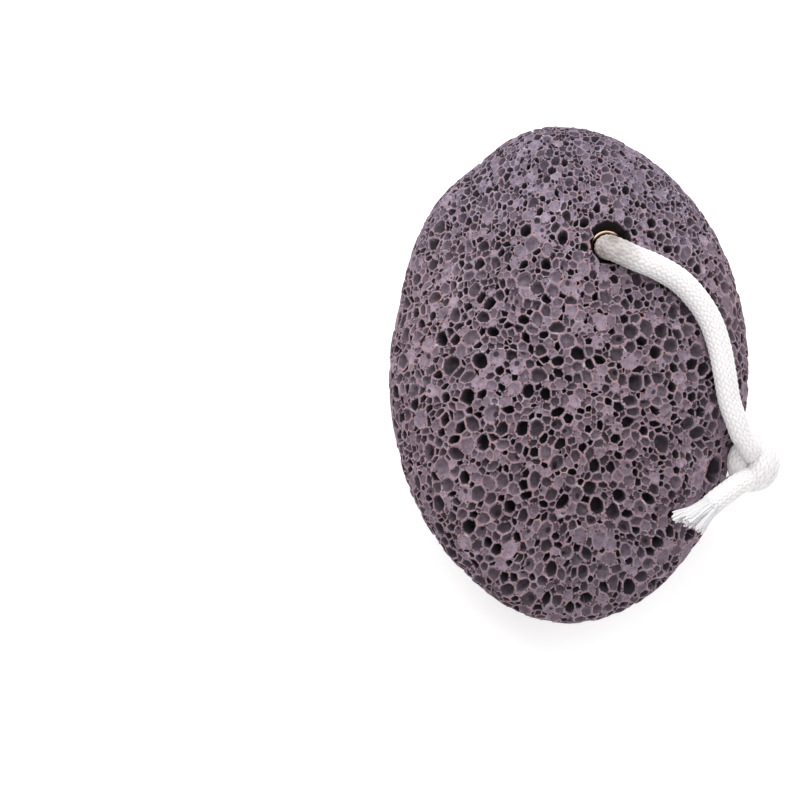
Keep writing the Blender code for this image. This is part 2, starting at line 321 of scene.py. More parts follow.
def smooth_curve(route, step):
    """Even points, a step apart, on the centripetal Catmull-Rom curve through a route in millimetres."""
    way = np.array(route, dtype=float) * MM
    way = np.vstack([2 * way[0] - way[1], way, 2 * way[-1] - way[-2]])
    knots = np.concatenate([[0], np.cumsum(np.linalg.norm(np.diff(way, axis=0), axis=1) ** 0.5)])
    curve = []
    for i in range(1, len(way) - 2):
        p, t = way[i - 1 : i + 3], knots[i - 1 : i + 3]
        s = np.linspace(t[1], t[2], CURVE_STEPS, endpoint=False)[:, None]
        a = [((t[j + 1] - s) * p[j] + (s - t[j]) * p[j + 1]) / (t[j + 1] - t[j]) for j in range(3)]
        b = [((t[j + 2] - s) * a[j] + (s - t[j]) * a[j + 1]) / (t[j + 2] - t[j]) for j in range(2)]
        curve.append(((t[2] - s) * b[0] + (s - t[1]) * b[1]) / (t[2] - t[1]))
    curve = np.vstack(curve + [way[-2][None]])
    along = np.concatenate([[0], np.cumsum(np.linalg.norm(np.diff(curve, axis=0), axis=1))])
    wanted = np.linspace(0, along[-1], int(round(along[-1] / step)) + 1)
    return np.stack([np.interp(wanted, along, curve[:, k]) for k in range(3)], axis=1)


def length_of(curve):
    """Length of a curve of points."""
    return float(np.linalg.norm(np.diff(curve, axis=0), axis=1).sum())


for way_name, way_points in (("over the face", FRONT_ROUTE), ("round the back", BACK_ROUTE)):
    print(way_name, "mm:", round(length_of(smooth_curve(way_points, MM)) / MM, 1))

# %% [markdown]
# ## Braid
# A braided cord is a tube of yarns in two families, one winding left and one right. Each yarn goes over
# two of the others and then under two, which draws the small arrowheads along the cord. Thirty-two
# separate yarns would take far more points, so the tube is one grid of rings, and a height for every
# point says which yarn is on top there and how it is crowned.

# %% Braided tube
YARNS = 16  # in each family
BRAID_PITCH = 20 * MM  # length in which a yarn goes once round
YARN_RISE = 0.32 * MM  # from the creases to the crowns
TYPICAL_HEIGHT = 0.72  # of the braid, as a share of that rise: there the tube is as thick as the cord
ARCH_SHARE, SWING_SHARE = 0.55, 0.45  # how much the yarns' round sections and their weave count
ARCH_DROP = 0.92  # how far the arch of a section falls at its edges
AROUND = 112  # points in a ring
RING_STEP = 0.2 * MM  # from ring to ring


def steady_frames(curve):
    """Tangents and two cross directions that follow the curve without twisting.

    The first guess leans on the direction that the curve avoids most. The angle by which it turns about
    the tangent from ring to ring is then added up and taken out again.
    """
    tangent = unit(np.gradient(curve, axis=0))
    spread, directions = np.linalg.eigh(tangent.T @ tangent)
    side = unit(np.cross(tangent, directions[:, 0]))
    other = np.cross(tangent, side)
    turned = np.concatenate([[0], np.cumsum(np.sum(np.diff(side, axis=0) * other[:-1], axis=1))])[:, None]
    steady_side = np.cos(turned) * side - np.sin(turned) * other
    return tangent, steady_side, np.sin(turned) * side + np.cos(turned) * other


def braid_height(turn, along):
    """Height from 0 to 1 of the braid, turn being a share of a full turn.

    Left yarns lie along lines of one number, right yarns along lines of the other. A yarn's section is
    a flattened arch, and it swings up where it goes over two yarns and down where it goes under two.
    The higher of the two families shows.
    """
    left = YARNS * (turn + along / BRAID_PITCH)
    right = YARNS * (turn - along / BRAID_PITCH)
    left_arch = np.sqrt(1 - ARCH_DROP * (2 * (right % 1) - 1) ** 2)
    right_arch = np.sqrt(1 - ARCH_DROP * (2 * (left % 1) - 1) ** 2)
    left_swing = np.sin(np.pi / 2 * ((left + np.floor(right)) % 4))
    right_swing = -np.sin(np.pi / 2 * ((right + np.floor(left)) % 4))
    left_height = ARCH_SHARE * left_arch + SWING_SHARE * left_swing
    right_height = ARCH_SHARE * right_arch + SWING_SHARE * right_swing
    return np.clip(np.maximum(left_height, right_height), 0, 1), left_height > right_height


def add_yarn_values(mesh, shape, height, lean, along, turn):
    """What the cotton reads at each point of a grid of some shape, and 0 at any points after the grid."""
    values = {"yarn_height": height, "yarn_lean": lean, "cord_along": along / MM, "cord_turn": turn}
    for name, value in values.items():
        grid = np.broadcast_to(value, shape).ravel()
        add_values(mesh, name, np.append(grid, np.zeros(len(mesh.vertices) - len(grid))))


def braided_tube(name, curve, girth=1.0, phase=0.0):
    """Braid round a curve: ring k, point j at radius(k, j) along the cross directions at that ring.

    girth scales the radius, as one number or one for each ring.
    """
    rings = len(curve)
    tangent, side, other = steady_frames(curve)
    along = np.arange(rings)[:, None] * length_of(curve) / (rings - 1)
    turn = np.arange(AROUND)[None] / AROUND
    height, left_on_top = braid_height(turn + phase + 0 * along, along + 0 * turn)
    radius = CORD / 2 + YARN_RISE * (height - TYPICAL_HEIGHT)
    radius = radius * np.broadcast_to(np.asarray(girth), (rings,))[:, None]
    angle = 2 * np.pi * turn
    offset = np.cos(angle)[..., None] * side[:, None] + np.sin(angle)[..., None] * other[:, None]
    points = (curve[:, None] + radius[..., None] * offset).reshape(-1, 3)
    points = np.vstack([points, curve[:1], curve[-1:]])
    ring, step = np.meshgrid(np.arange(rings - 1), np.arange(AROUND), indexing="ij")
    here = (ring * AROUND + step).ravel()
    beside = (ring * AROUND + (step + 1) % AROUND).ravel()
    quads = np.stack([here, beside, beside + AROUND, here + AROUND], axis=1)
    first = np.arange(AROUND)
    last = first + (rings - 1) * AROUND
    start_cap = np.stack([np.roll(first, -1), first, np.full(AROUND, rings * AROUND)], axis=1)
    end_cap = np.stack([last, np.roll(last, -1), np.full(AROUND, rings * AROUND + 1)], axis=1)
    mesh = mesh_from(name, points, [quads, start_cap, end_cap])
    add_yarn_values(mesh, height.shape, height, left_on_top, along, turn)
    return mesh


ring_heights, _ = braid_height(np.arange(AROUND) / AROUND, 0.0)
print("braid height in one ring:", ring_heights.min().round(2), "to", ring_heights.max().round(2))

# %% [markdown]
# ## Cotton
# White cotton is matte and lets a little light into itself, and its creases are painted a warm grey as
# shade. Fine fibre runs along each yarn, too fine for points, so it is a bump that leans left or right
# with the yarn on top. Where the cord rubs in the sleeve it has picked up tarnish, and the shade of the
# hole is painted on it too; both fade out soon after the mouth.

# %% Cotton finish
# Crowns, and creases painted darker as shade; a yellowed tint, and tarnish with painted shade from the hole.
CROWN, CREASE_SHADE = srgb(252, 249, 251), srgb(206, 196, 194)
YELLOWED, TARNISH_AND_SHADE = srgb(234, 227, 222), srgb(104, 90, 78)
FIBRES = 15  # that cross a ring one way, and the same count the other
FIBRE_SLANT = 0.9  # of them to a millimetre along the cord
FIBRE_WAVES = 26


def cotton():
    """White braid: creases painted greyer than crowns as shade, with fibres that follow the yarns."""
    kit = Kit("cotton", 0.92)
    names = ("yarn_height", "yarn_lean", "cord_along", "cord_turn")
    height, lean, along, turn = (kit.attribute(name) for name in names)
    # Painted shade: the lower the braid, the greyer the cotton.
    shade = kit.mix(1 - height.over(0.2, 0.8), CROWN, CREASE_SHADE)
    mottle = kit.noise(420, 3).over(0.35, 0.75)
    shade = kit.mix(mottle * 0.3, shade, YELLOWED)
    # Tarnish and painted shade of the hole, near the sleeve.
    shade = kit.mix(kit.attribute("stain") * (0.6 + mottle * 0.3), shade, TARNISH_AND_SHADE)
    across = turn * FIBRES * (lean * 2 - 1) + along * FIBRE_SLANT
    fibre = (across * FIBRE_WAVES).math("SINE")
    soft = (0.6 * MM, 0.5 * MM, 0.45 * MM)
    kit.feed(Sheen_Weight=0.25, Sheen_Roughness=0.5)
    kit.feed(Subsurface_Weight=0.4, Subsurface_Radius=soft, Subsurface_Scale=1.0)
    normal = kit.bump(fibre * 0.35 + kit.noise(5200, 2), 0.35, 0.06 * MM)
    return kit.feed(Base_Color=shade, Normal=normal)


cotton_finish = cotton()
print("nodes of the cotton:", len(cotton_finish.node_tree.nodes))

# %% [markdown]
# ## The loop
# The loop is one length of braid. It is pulled thin where the knot grips it and a little along the back,
# which a tube of one girth would miss, so girth and stain are both read off its length. The stain also
# carries the painted shade of the hole, where the cord comes out of it.

# %% The loop
LOOP_GIRTH = ([0, 0.2, 0.42, 0.55, 0.9, 1.0], [1.0, 1.0, 0.88, 0.88, 0.95, 1.0])  # share of its way, girth
STAINED_AND_SHADED = ([0, 20.5 * MM, 27 * MM, 150 * MM, 155 * MM], [1, 1, 0, 0, 1])  # length along it, how much tarnish and painted shade of the hole

loop_way = smooth_curve(FRONT_ROUTE + KNOT_ROUTE + BACK_ROUTE, RING_STEP)
print("loop mm:", round(length_of(loop_way) / MM, 1))
loop_share = np.linspace(0, 1, len(loop_way))
loop_mesh = braided_tube("braided_loop", loop_way, np.interp(loop_share, *LOOP_GIRTH))
# The stain values carry tarnish and the painted shade of the hole.
loop_stain_and_shade = np.interp(loop_share * length_of(loop_way), *STAINED_AND_SHADED)
add_values(loop_mesh, "stain", np.append(np.repeat(loop_stain_and_shade, AROUND), [1, 1]))
loop = add_piece("braided_loop", loop_mesh, cotton_finish)
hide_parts("cord_loop")
print("loop faces:", len(loop.data.polygons))

# %% [markdown]
# ## Brushes
# Where an end was cut, the braid has opened and its yarns fan out like a brush. Hair particles would give
# strands without thickness, so each yarn is a thin tube of its own that starts inside the braid.

# %% Brush of yarns
TIGHT = 0.90  # girth of the cord where it is pulled tight
OPENING = 2.2 * MM  # length over which the braid thins out at a cut end
OPEN_GIRTH, CLOSED_PART = 0.72, 0.28  # what is left of its girth there, and what it loses
TIP_YARNS = 260
TIP_BUNCHES = 15
GOLDEN_TURN = 2.39996  # spreads points evenly over a disc when each is turned by it
TIP_SHARES = np.array([0, 0.12, 0.25, 0.38, 0.5, 0.62, 0.74, 0.85, 0.93, 0.98, 1.0])
TIP_GIRTHS = np.array([1, 1, 1, 1, 1, 1, 1, 1, 1, 0.92, 0.5])
TIP_SIDES = 5
TIP_START = 2.6 * MM  # how far inside the braid's edge the loose yarns begin
TIP_LENGTH = (5.7 * MM, 7.2 * MM)
TIP_UNEVEN = 0.3 * MM  # spread of the yarns' lengths in one bunch
TIP_SLANT = np.array([0.22, 0.1])  # how much longer the yarns on the left and on top are, as shares
TIP_RADIUS = 0.22 * MM
TIP_THICKNESS = (0.75, 1.2)  # range of the yarns' radii, as shares of that
TIP_ROOM = 1.3  # yarn radii between the middle of a yarn and the table, at least
TIP_NARROW = 0.93  # width of the brush where it starts
TIP_FLARE = np.array([0.58, 0.25])  # how much wider and higher the brush is at its tips, as shares
TIP_GATHER = 0.18  # how far a bunch draws together at its tip
# The height decides how much painted crease shade a loose yarn gets.
TIP_HEIGHT, TIP_DEEPER = 1.2, 0.3  # a yarn's height as braid, and how much lower the inner ones count
BUNCH_WAVE = 0.26 * MM
YARN_WAVE = 0.17 * MM


def opening_girth(curve):
    """Girth of an end: pulled tight, and thinning out where its yarns leave the braid."""
    left = (len(curve) - 1 - np.arange(len(curve))) * RING_STEP
    return TIGHT * (OPEN_GIRTH + CLOSED_PART * np.clip(left / OPENING, 0, 1) ** 0.5)


def on_disc(count):
    """Points spread evenly over a disc of radius one."""
    order = np.arange(count)
    out = np.sqrt((order + 0.5) / count)
    return out[:, None] * np.stack([np.cos(order * GOLDEN_TURN), np.sin(order * GOLDEN_TURN)], axis=1)


def yarn_middles(curve, rng):
    """Middle line of every loose yarn, each one's length, and its place in the braid.

    Neighbouring yarns cling together in bunches. Each bunch leans and curls its own way, and the yarns
    in it differ a little. A yarn's place on the disc of the braid widens with its share of the way out.
    """
    ahead = unit(curve[-1] - curve[-8])
    side = unit(np.cross(ahead, [0, 0, 1]))
    up = np.cross(side, ahead)
    share = TIP_SHARES[None, :, None]
    root = on_disc(TIP_YARNS)
    heart = on_disc(TIP_BUNCHES)
    bunch = np.argmin(np.linalg.norm(root[:, None] - heart[None], axis=2), axis=1)
    tip = root + TIP_GATHER * (heart[bunch] - root)
    spot = (root[:, None] + (tip - root)[:, None] * share) * (TIP_NARROW + TIP_FLARE * share**1.5)
    spot *= CORD / 2 * TIGHT - TIP_RADIUS / 2
    length = rng.uniform(*TIP_LENGTH, TIP_BUNCHES)[bunch] + rng.normal(0, TIP_UNEVEN, TIP_YARNS)
    length *= 1 + root @ TIP_SLANT
    lean = rng.normal(0, BUNCH_WAVE, (TIP_BUNCHES, 1, 3))[bunch]
    lean = lean + rng.normal(0, YARN_WAVE, (TIP_YARNS, 1, 3))
    curl = rng.normal(0, BUNCH_WAVE / 2, (TIP_BUNCHES, 1, 3))[bunch]
    middle = curve[-1] + (length[:, None, None] * share - TIP_START) * ahead
    middle = middle + spot[..., :1] * side + spot[..., 1:] * up
    middle = middle + lean * share**2 + curl * np.sin(1.5 * np.pi * share) * share
    middle[..., 2] = np.maximum(middle[..., 2], TIP_ROOM * TIP_RADIUS)
    return middle, length, root, side, up


def yarn_tips(name, curve, seed):
    """Loose yarns at a cut end: point j of ring k of a yarn is its middle there plus a turned radius."""
    rng = np.random.default_rng(seed)
    middle, length, root, side, up = yarn_middles(curve, rng)
    girth = TIP_RADIUS * TIP_GIRTHS * rng.uniform(*TIP_THICKNESS, TIP_YARNS)[:, None]
    angle = 2 * np.pi * np.arange(TIP_SIDES) / TIP_SIDES
    circle = np.cos(angle)[:, None] * side + np.sin(angle)[:, None] * up
    points = middle[:, :, None] + girth[:, :, None, None] * circle[None, None]
    rings = len(TIP_SHARES)
    order = np.arange(TIP_YARNS)
    yarn, ring, step = np.meshgrid(order, np.arange(rings - 1), np.arange(TIP_SIDES), indexing="ij")
    first = (yarn * rings + ring) * TIP_SIDES
    here, beside = first + step, first + (step + 1) % TIP_SIDES
    quads = np.stack([beside, here, here + TIP_SIDES, beside + TIP_SIDES], axis=-1).reshape(-1, 4)
    starts = order[:, None] * rings * TIP_SIDES + np.arange(TIP_SIDES)
    ends = starts + (rings - 1) * TIP_SIDES
    mesh = mesh_from(name, points.reshape(-1, 3), [quads, starts, ends[:, ::-1]])
    # Inner yarns count lower, so they get more painted crease shade.
    height = (TIP_HEIGHT - TIP_DEEPER * (1 - np.linalg.norm(root, axis=1))) * 0.8
    along = length[:, None, None] * TIP_SHARES[None, :, None]
    add_yarn_values(mesh, points.shape[:3], height[:, None, None], 1, along, angle / (2 * np.pi) * 0.2)
    return mesh


upper_way = smooth_curve(UPPER_END_ROUTE, RING_STEP)
lower_way = smooth_curve(LOWER_END_ROUTE, RING_STEP)
upper_brush = yarn_tips("upper_tips", upper_way, 3)
lower_brush = yarn_tips("lower_tips", lower_way, 4)
print("yarns in each brush:", TIP_YARNS, "and faces:", len(upper_brush.polygons))

# %% [markdown]
# ## Knot and ends
# The knot is small and tight: two turns of the cord round itself. The front strand dives into the middle
# of the turns, and the upper end comes out again beside it and lies over the stone's flank. Pulling a
# simulated cord tight would take long and end differently each time, so the turns have a route as well.
# Turns, ends and brushes are joined, because they are one cord.

# %% Knot and ends
TURNS_ROUTE = [
    (34.8, -19.7, 23.5), (35.1, -17.4, 23.8), (35.9, -15.8, 24.4), (37.7, -15.9, 25),
    (39, -17.4, 25.6), (39, -19.4, 25.8), (38.4, -20.8, 25.6), (37.2, -21.7, 25.3),
    (35.5, -21.8, 25.6), (34.1, -20.9, 26.4), (33.2, -19.2, 27.6), (33.5, -17.4, 28.6),
    (34.8, -16.1, 29.3), (36.4, -16.1, 29.8), (37.5, -17.5, 30.2), (37.3, -19.8, 30.4),
    (36.5, -21.4, 29.6), (35.4, -22.3, 28.2), (34.9, -21.6, 26.2), (34.9, -20.2, 24.5),
]


def joined(name, meshes):
    """One mesh from several, keeping their values."""
    whole = bmesh.new()
    for mesh in meshes:
        whole.from_mesh(mesh)
    mesh = bpy.data.meshes.new(name)
    whole.to_mesh(mesh)
    whole.free()
    return mesh


turns = braided_tube("turns", smooth_curve(TURNS_ROUTE, RING_STEP))
upper_braid = braided_tube("upper_end", upper_way, opening_girth(upper_way), 0.3)
knot_mesh = joined("tied_knot", [turns, upper_braid, upper_brush])
knot = add_piece("tied_knot", knot_mesh, cotton_finish)
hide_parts("cord_knot", "cord_end_upper")
lower_braid = braided_tube("lower_braid", lower_way, opening_girth(lower_way), 0.6)
lower_mesh = joined("lower_end", [lower_braid, lower_brush])
lower_end = add_piece("lower_end", lower_mesh, cotton_finish)
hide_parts("cord_end_lower")
print("knot faces:", len(knot.data.polygons))

# %% [markdown]
# ## What the cord is
# The cord is limp cotton, it ends in its own knot, and its whole length lies on the stone. Here the
# loop's length is printed.

# %% The cord's length
print("cord declared mm:", round(length_of(loop_way) / MM))

# %% [markdown]
# ## The skin of the stone
# Tumbling and rubbing leave the stone with the round of an egg and a few worn flats. It could be sculpted,
# but a formula is exact and can be asked anywhere: its skin is a distance from the middle for every
# direction. The egg and the planes of the flats are blended by a power mean, which lets the nearest one
# rule, and gentle swells then break the regular outline.

# %% Skin
HALF_SIZE = np.array([36.1, 50.4, 23.6]) * MM
MIDDLE = np.array([0, 0, 21.6]) * MM
FLAT_SHARPNESS = 16  # the higher, the crisper the edge of a flat
# Flats worn on the stone: compass angle from +X, angle above level, distance from the centre.
FLATS = [
    (0, -90, 21.9 * MM),
    (78, -61, 22.9 * MM),
    (-80, 62, 27.5 * MM),
    (150, 42, 30.5 * MM),
    (-20, -45, 27.0 * MM),
    (215, -42, 30.6 * MM),
]
# Swells and hollows: compass angle, angle above level, height as a share of the radius, spread.
SWELLS = [
    (66, 0, -0.022, 15),
    (97, 0, 0.014, 16),
    (113, 0, -0.020, 6),
    (130, 0, 0.034, 12),
    (160, 0, -0.012, 6),
    (226, 0, 0.026, 14),
    (298, 0, -0.014, 16),
    (-31, 12, -0.031, 7),
    (-35, 28, -0.045, 5),
    (190, 55, -0.016, 14),
    (20, 60, 0.012, 16),
    (250, 30, 0.010, 14),
]
REST_BAND = 0.35 * MM  # skin this low is worn flat, as the face that it rests on
SOLVE_ROUNDS = 30  # enough for a height of the skin to settle


def compass(azimuth, elevation):
    """Unit vector at a compass angle from +X and an angle above level, in degrees."""
    turn = math.radians(azimuth)
    rise = math.radians(elevation)
    return np.array([math.cos(turn) * math.cos(rise), math.sin(turn) * math.cos(rise), math.sin(rise)])


def on_skin(points):
    """Where rays from the stone's middle through the points meet its skin.

    The radius is the power mean of the egg's and the flats', times one plus a bell curve for each swell.
    """
    u = unit(points)
    total = np.linalg.norm(u / HALF_SIZE, axis=1) ** FLAT_SHARPNESS
    for azimuth, elevation, distance in FLATS:
        total += (np.clip(u @ compass(azimuth, elevation), 0, None) / distance) ** FLAT_SHARPNESS
    radius = total ** (-1 / FLAT_SHARPNESS)
    for azimuth, elevation, height, spread in SWELLS:
        angle = np.degrees(np.arccos(np.clip(u @ compass(azimuth, elevation), -1, 1)))
        radius *= 1 + height * np.exp(-0.5 * (angle / spread) ** 2)
    return u * radius[:, None]


def outward(points):
    """Direction square to the skin, near enough."""
    return unit(points / HALF_SIZE**2)


def tilt(points):
    """Cosine of the angle between the skin and the ray that it is measured along."""
    return np.sum(unit(points) * outward(points), axis=1)


def on_skin_at(x, y, side):
    """Points of the skin over or under places x, y."""
    z = np.full(np.shape(x), side * HALF_SIZE[2])
    for _ in range(SOLVE_ROUNDS):
        z = on_skin(np.stack([x, y, z], axis=1))[:, 2]
    return np.stack([x, y, z], axis=1)


straight_up = on_skin(np.array([[0, 0, 1.0]]))[0] + MIDDLE
print("top of the stone mm:", round(straight_up[2] / MM, 1))

# %% [markdown]
# ## Froth
# Pumice is froth that froze. Its bubbles press on one another, so each one owns the region nearer to it
# than to any other, counted with its size. Cutting thousands of balls out of a lump would be slow and
# would leave no thin walls. Directions on a sphere make the regions quick to find: each bubble is a round
# cap, and the planes that cut the caps off bound a many-sided solid whose faces are the regions. The hull
# of the planes' poles has one triangle for each corner where three bubbles meet.

# %% Regions
def hull_triangles(points):
    """Triangles of the convex hull, their corners counter-clockwise from outside."""
    mesh = bpy.data.meshes.new("hull")
    mesh.from_pydata(points.tolist(), [], [])
    shell = bmesh.new()
    shell.from_mesh(mesh)
    bmesh.ops.convex_hull(shell, input=shell.verts)
    shell.to_mesh(mesh)
    shell.free()
    triangles = np.empty(3 * len(mesh.polygons), np.int32)
    mesh.loops.foreach_get("vertex_index", triangles)
    bpy.data.meshes.remove(mesh)
    triangles = triangles.reshape(-1, 3)
    a, b, c = (points[triangles[:, k]] for k in range(3))
    inward = np.sum(np.cross(b - a, c - a) * (a + b + c), axis=1) < 0
    triangles[inward] = triangles[inward][:, ::-1]
    return triangles


def cap_cosines(points, radii):
    """Cosine of each bubble's angular radius, evened out for the tilt of the skin."""
    return np.cos(radii * np.sqrt(tilt(points)) / np.linalg.norm(points, axis=1))


cube = np.array([(x, y, z) for x in (-1, 1) for y in (-1, 1) for z in (-1, 1)], float)
print("triangles of a cube's hull:", len(hull_triangles(cube)))

# %% [markdown]
# ## Packing
# Bubbles strewn at random would leave slivers and gaps. Real ones have pushed each other until they fit,
# so neighbours here do the same, round after round. Bubbles are finer at the narrow end and by the hole.
# The hole's two mouths and two great bubbles on the right flank are held in their places.

# %% Packing
CELLS = 6480
CELL_SPREAD = 0.46  # of the logarithm of their radii
CELL_LIMITS = (0.36, 2.3)  # smallest and largest radius as shares of the typical one
MOUTHS = 2  # the first bubbles are the front and back mouths of the hole
MOUTH_RADIUS = 4.6 * MM  # kept clear round each
MOUTH_SHIFT = np.array([0.8, 0.6]) * MM  # the mouths are worn to one side
# Great bubbles: place from the stone's middle and radius in millimetres, and kind as in KINDS.
GREAT_BUBBLES = np.array([
    (28.2, -20.8, 10.0, 3.1, 2),
    (23.2, -35.6, 4.2, 3.1, 0),
])
FINE_FROM, FINE_TO = 8 * MM, 46 * MM  # along the stone, where its bubbles get smaller
FINE_AT_END = 0.30  # by how much
FINE_AT_HOLE = 0.22
HOLE_REACH = 5.5 * MM  # how far from its axis the hole makes them finer
PACK_SEED = 5
PACK_TRIES = 12  # directions drawn for each bubble
PACK_ROUNDS = 30
PACK_STEP = 0.2  # share of an overlap or gap that one push takes away


def coarseness(points):
    """Share of their full size that bubbles grew to: less towards the narrow end and round the hole."""
    narrow = np.clip((points[:, 1] - FINE_FROM) / (FINE_TO - FINE_FROM), 0, 1)
    near = np.exp(-0.5 * (np.hypot(*(points[:, :2] - HOLE).T) / HOLE_REACH) ** 2)
    return 1 - FINE_AT_END * narrow - FINE_AT_HOLE * near


def strew(rng, count):
    """Points scattered over the skin, as dense as the bubbles there are fine, and the skin's area."""
    points = on_skin(rng.normal(size=(count * PACK_TRIES, 3)))
    area = np.sum(points**2, axis=1) / tilt(points)
    wanted = area / coarseness(points) ** 2
    return points[rng.random(len(points)) * wanted.max() < wanted][:count], 4 * np.pi * area.mean()


def pack_bubbles():
    """Centres on the skin and radii of the bubbles: the hole's two mouths, the great ones and the rest.

    In each round every pair of neighbours moves apart or together by a share of what parts their
    distance from the sum of their radii.
    """
    rng = np.random.default_rng(PACK_SEED)
    points, area = strew(rng, CELLS)
    sizes = np.clip(rng.lognormal(0, CELL_SPREAD, len(points)), *CELL_LIMITS) * coarseness(points)
    radii = sizes * math.sqrt(area / (2 * math.sqrt(3) * np.sum(sizes**2)))
    mouth = (HOLE + MOUTH_SHIFT)[:, None]
    great = on_skin(GREAT_BUBBLES[:, :3] * MM)
    fixed = np.vstack([on_skin_at(*mouth, 1), on_skin_at(*mouth, -1), great])
    held = len(fixed)
    points[:held] = fixed
    radii[:held] = [MOUTH_RADIUS, MOUTH_RADIUS, *GREAT_BUBBLES[:, 3] * MM]
    for _ in range(PACK_ROUNDS):
        triangles = hull_triangles(unit(points) / cap_cosines(points, radii)[:, None])
        pairs = np.vstack([triangles[:, [0, 1]], triangles[:, [1, 2]], triangles[:, [2, 0]]])
        gap = points[pairs[:, 1]] - points[pairs[:, 0]]
        distance = np.linalg.norm(gap, axis=1)
        push = PACK_STEP * (distance - radii[pairs].sum(axis=1)) / distance
        move = [np.bincount(pairs[:, 0], push * gap[:, k], len(points)) for k in range(3)]
        points = on_skin(points + np.stack(move, axis=1))
        points[:held] = fixed
    return points, radii


bubbles, bubble_radii = pack_bubbles()
print("bubbles:", len(bubbles), "radius mm:", (np.percentile(bubble_radii, [5, 50, 95]) / MM).round(2))

# %% [markdown]
# ## Corners
# The rubbed skin cuts every bubble open, and leaves a net of crests that meet three by three. As they
# stand the regions are too regular, like a honeycomb. Lava draws its froth out as it flows, so the
# corners are moved by a few long waves that cross at random, too gently for any two to pass each other.

# %% Corners
FOAM_SEED = 8
FLOW_WAVES = 7
FLOW_LENGTH = (3.6 * MM, 7.5 * MM)  # range of their wavelengths
FLOW_STRETCH = 0.23  # most that one wave draws the froth out, as a share
FLOW_CLEAR = (5 * MM, 9 * MM)  # from the hole, where the flow fades in
MOUTH_RAGGED = 0.3 * MM  # spread of the corners round the mouths


def flowed(points, rng):
    """The skin's points, each moved by the sum of waves: a sine of its place along one random direction,
    times another random direction."""
    away = np.hypot(*(points[:, :2] - HOLE).T)
    fade = np.clip((away - FLOW_CLEAR[0]) / (FLOW_CLEAR[1] - FLOW_CLEAR[0]), 0, 1)
    moved = points.copy()
    for _ in range(FLOW_WAVES):
        length = rng.uniform(*FLOW_LENGTH)
        phase = 2 * np.pi * (points @ unit(rng.normal(size=3)) / length + rng.random())
        swing = FLOW_STRETCH * length / (2 * np.pi) * np.sin(phase) * fade
        moved += swing[:, None] * unit(rng.normal(size=3))
    return on_skin(moved)


rng = np.random.default_rng(FOAM_SEED)
directions = unit(bubbles)
cosines = cap_cosines(bubbles, bubble_radii)
triangles = hull_triangles(directions / cosines[:, None])
solved = np.linalg.solve(directions[triangles], cosines[triangles][..., None])[..., 0]
corners = flowed(on_skin(solved), rng)
ragged = triangles.min(axis=1) < MOUTHS
corners[ragged] = on_skin(corners[ragged] + rng.normal(0, MOUTH_RAGGED, (ragged.sum(), 3)))
print("corners:", len(corners))

# %% [markdown]
# ## Round each bubble
# To open a bubble, its corners have to be known in order. Walking round every one would be a slow loop.
# Each side of each triangle starts at one bubble, and so stands for one corner of that bubble, and one
# sorted search finds for every corner the one that follows it.

# %% Bubbles and their corners
owner = triangles.ravel()
corner = np.repeat(np.arange(len(triangles)), 3)
after = np.roll(triangles, -1, axis=1).ravel()
before = np.roll(triangles, 1, axis=1).ravel()
count = len(bubbles)


def look_up(keys, wanted):
    """Place in keys of each wanted one."""
    order = np.argsort(keys)
    return order[np.searchsorted(keys[order], wanted)]


following = look_up(owner * count + after, owner * count + before)
sides = np.bincount(owner, minlength=count)


def mean_of(values):
    """Mean for each bubble of a value that each of its corners has."""
    return np.bincount(owner, values, count) / np.maximum(sides, 1)


centre = on_skin(np.stack([mean_of(corners[corner, k]) for k in range(3)], axis=1))
arm = corners[corner] - centre[owner]
reach = np.linalg.norm(arm, axis=1)
width = mean_of(reach)
print("corners of a bubble:", sides.min(), "to", sides.max(), "mean width mm:", (width.mean() / MM).round(2))

# %% [markdown]
# ## Depths
# A bubble cut near its top is a small deep pit, and one cut low down is a wide shallow dish. A deep one
# with deeper ones round it would have broken into them, so it is made less deep. The great bubbles have
# a kind of their own, given with them.

# %% Depths
# Kinds of bubble: share, depth over width as a range, width of the lower ring, share of depth it reaches.
KINDS = [
    (0.30, 0.24, 0.58, 0.62, 0.70),
    (0.20, 0.7, 1.2, 0.78, 0.85),
    (0.50, 1.4, 2.2, 0.90, 0.94),
]
DISH, BOWL, PIT = range(len(KINDS))
SMALL = 0.52 * MM  # radius under which most bubbles are shallow
SMALL_SHALLOW = 0.86  # share of those
CROWDED = 1  # deep neighbours that a deep bubble may have
DEPTH_LIMITS = (0.15 * MM, 3.2 * MM)

kind = np.searchsorted(np.cumsum([k[0] for k in KINDS])[:-1], rng.random(count))
kind[(width < SMALL) & (rng.random(count) < SMALL_SHALLOW)] = DISH
rank = rng.random(count)
above = (kind[after] == PIT) & (rank[after] > rank[owner])
kind[(kind == PIT) & (np.bincount(owner, above, count) > CROWDED)] = BOWL
kind[MOUTHS : MOUTHS + len(GREAT_BUBBLES)] = GREAT_BUBBLES[:, 4]
_, shallowest, deepest, low_width, low_share = np.array(KINDS)[kind].T
depth = np.clip(width * (shallowest + (deepest - shallowest) * rng.random(count)), *DEPTH_LIMITS)
print("dishes, bowls and pits:", np.bincount(kind))

# %% [markdown]
# ## Crests
# Rubbing has taken the crests down unevenly, and some walls have broken, so that two bubbles run together
# there. A wall breaks at both its ends, so both corners are sunk.

# %% Crests
CREST_WEAR = 0.22  # most that a crest is worn down, in millimetres
BROKEN = 0.05  # share of the walls
BREAK_SHARE = 0.6  # of its depth that a broken wall has lost
BREAK_DEPTH = 1.2 * MM  # most of a wall's depth that counts

